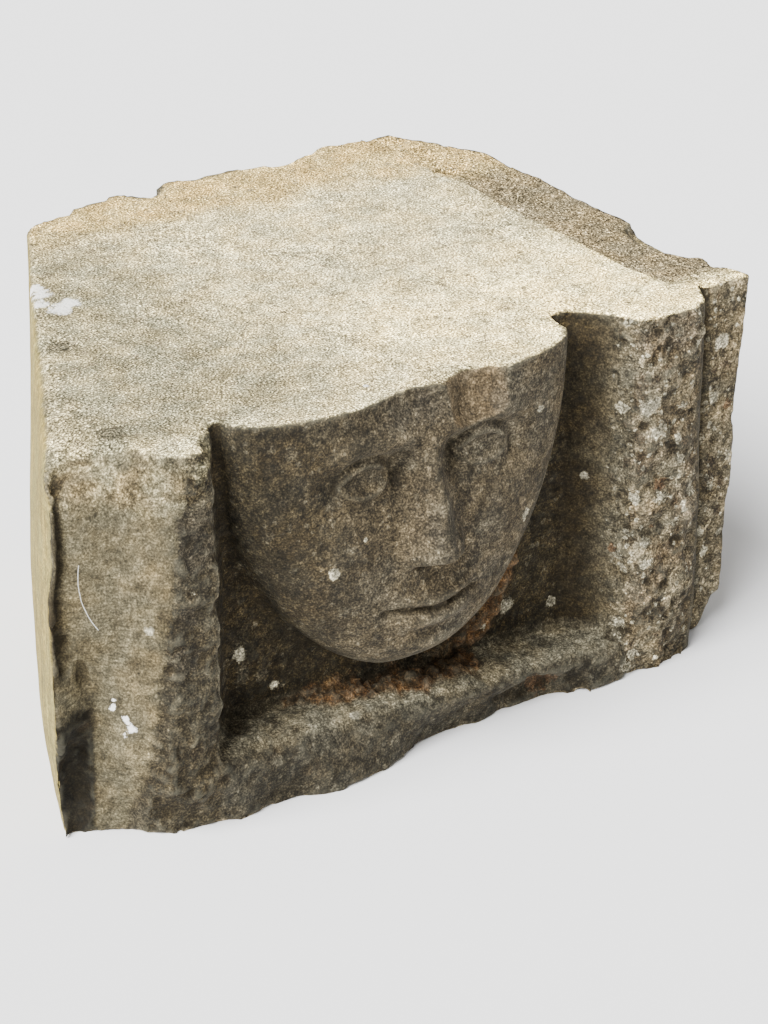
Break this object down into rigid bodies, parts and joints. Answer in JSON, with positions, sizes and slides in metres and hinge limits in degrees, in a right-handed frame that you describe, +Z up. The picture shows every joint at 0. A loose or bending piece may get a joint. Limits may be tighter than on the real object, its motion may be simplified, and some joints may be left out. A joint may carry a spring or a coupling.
{
  "type": "stone corbel",
  "caption": "Weathered carved stone corbel block with a face mask in a niche between two pilasters, flat beds above and below",
  "frame": {"origin": "middle of the underside's bounding box, on the surface that the block stands on", "axes": "+Z up, the carved front looks along -Y, +X runs to the right when facing the front, +Y goes back into the wall"},
  "size_m": [0.4, 0.3186, 0.2],
  "materials": {
    "weathered_stone": "matt weathered sandstone, lichen spots, pitted"
  },
  "bodies": {
    "root": {"stone_corbel": "weathered_stone"}
  },
  "joints": []
}
